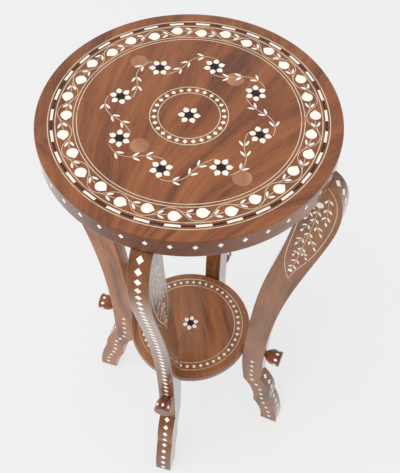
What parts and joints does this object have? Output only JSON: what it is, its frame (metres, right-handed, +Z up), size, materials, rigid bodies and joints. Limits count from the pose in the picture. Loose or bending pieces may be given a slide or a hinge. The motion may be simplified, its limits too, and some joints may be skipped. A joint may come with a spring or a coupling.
{
  "type": "inlaid side table",
  "caption": "Small round side table with bone and brass inlay, on S-shaped scalloped board legs with turned ankle knobs and a round lower shelf.",
  "frame": {"origin": "on the floor, under the middle of the round top", "axes": "+Z up; +X along the leg that the picture shows on the right"},
  "size_m": [0.3443, 0.3442, 0.616],
  "materials": {
    "sheesham": "oiled sheesham, satin",
    "plug_wood": "paler plug, satin",
    "dowel_wood": "raw turned dowel",
    "bone": "polished bone",
    "brass": "rubbed brass strip",
    "ebony": "black-stained wood, satin",
    "screw_steel": "plain steel"
  },
  "bodies": {
    "root": {"table_top": "sheesham", "shelf": "sheesham", "top_plugs": "plug_wood", "leg_dowels": "dowel_wood", "shelf_screws": "screw_steel", "top_outer_brass_ring": "brass", "border_outer_brass_ring": "brass", "border_inner_brass_rings": "brass", "centre_brass_rings": "brass", "shelf_brass_rings": "brass", "border_vine": "brass", "garland_stems": "brass", "border_bone_blocks": "bone", "border_buds": "bone", "border_leaves": "bone", "garland_petals": "bone", "garland_leaves": "bone", "centre_diamonds": "bone", "centre_flower_petals": "bone", "rim_diamonds": "bone", "shelf_diamonds": "bone", "shelf_flower_petals": "bone", "border_ebony_blocks": "ebony", "garland_flower_eyes": "ebony", "centre_flower_eye": "ebony", "shelf_flower_eye": "ebony", "right_leg": "sheesham", "right_ankle_knob": "sheesham", "right_leg_edge_diamonds": "bone", "right_panel_leaves": "bone", "right_panel_stems": "brass", "right_panel_outline": "brass", "right_foot_diamonds": "bone", "right_knob_diamonds": "bone", "back_leg": "sheesham", "back_ankle_knob": "sheesham", "back_leg_edge_diamonds": "bone", "back_panel_leaves": "bone", "back_panel_stems": "brass", "back_panel_outline": "brass", "back_foot_diamonds": "bone", "back_knob_diamonds": "bone", "left_leg": "sheesham", "left_ankle_knob": "sheesham", "left_leg_edge_diamonds": "bone", "left_panel_leaves": "bone", "left_panel_stems": "brass", "left_panel_outline": "brass", "left_foot_diamonds": "bone", "left_knob_diamonds": "bone", "front_leg": "sheesham", "front_ankle_knob": "sheesham", "front_leg_edge_diamonds": "bone", "front_panel_leaves": "bone", "front_panel_stems": "brass", "front_panel_outline": "brass", "front_foot_diamonds": "bone", "front_knob_diamonds": "bone"}
  },
  "joints": []
}
